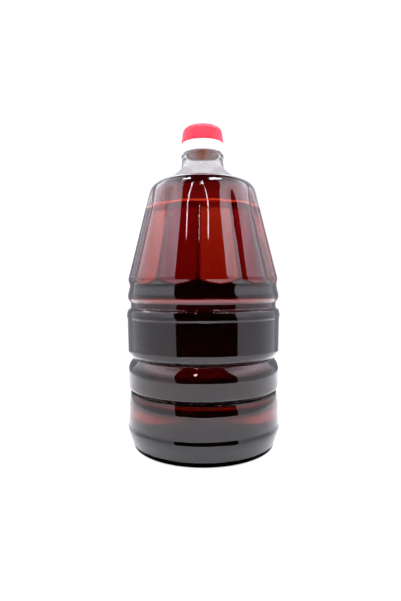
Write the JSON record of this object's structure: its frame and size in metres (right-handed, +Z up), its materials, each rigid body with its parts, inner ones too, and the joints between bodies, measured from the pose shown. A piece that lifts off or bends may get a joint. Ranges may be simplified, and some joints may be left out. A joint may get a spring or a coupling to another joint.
{
  "type": "sesame oil bottle",
  "caption": "Clear plastic bottle of dark roasted sesame oil, with a lobed tapering shoulder, a ringed body, a white collar and a ribbed red screw cap.",
  "frame": {"origin": "on the bottle's axis, at the surface that it stands on", "axes": "+Z up along the bottle's axis, towards the cap; -Y is the front"},
  "size_m": [0.1224, 0.1224, 0.2523],
  "materials": {
    "clear_plastic": "clear polished PET",
    "oil": "dark clear liquid",
    "white_plastic": "satin moulded",
    "red_plastic": "satin moulded, ribbed"
  },
  "bodies": {
    "root": {"bottle": "clear_plastic", "oil": "oil", "collar": "white_plastic", "cap": "red_plastic"}
  },
  "joints": []
}
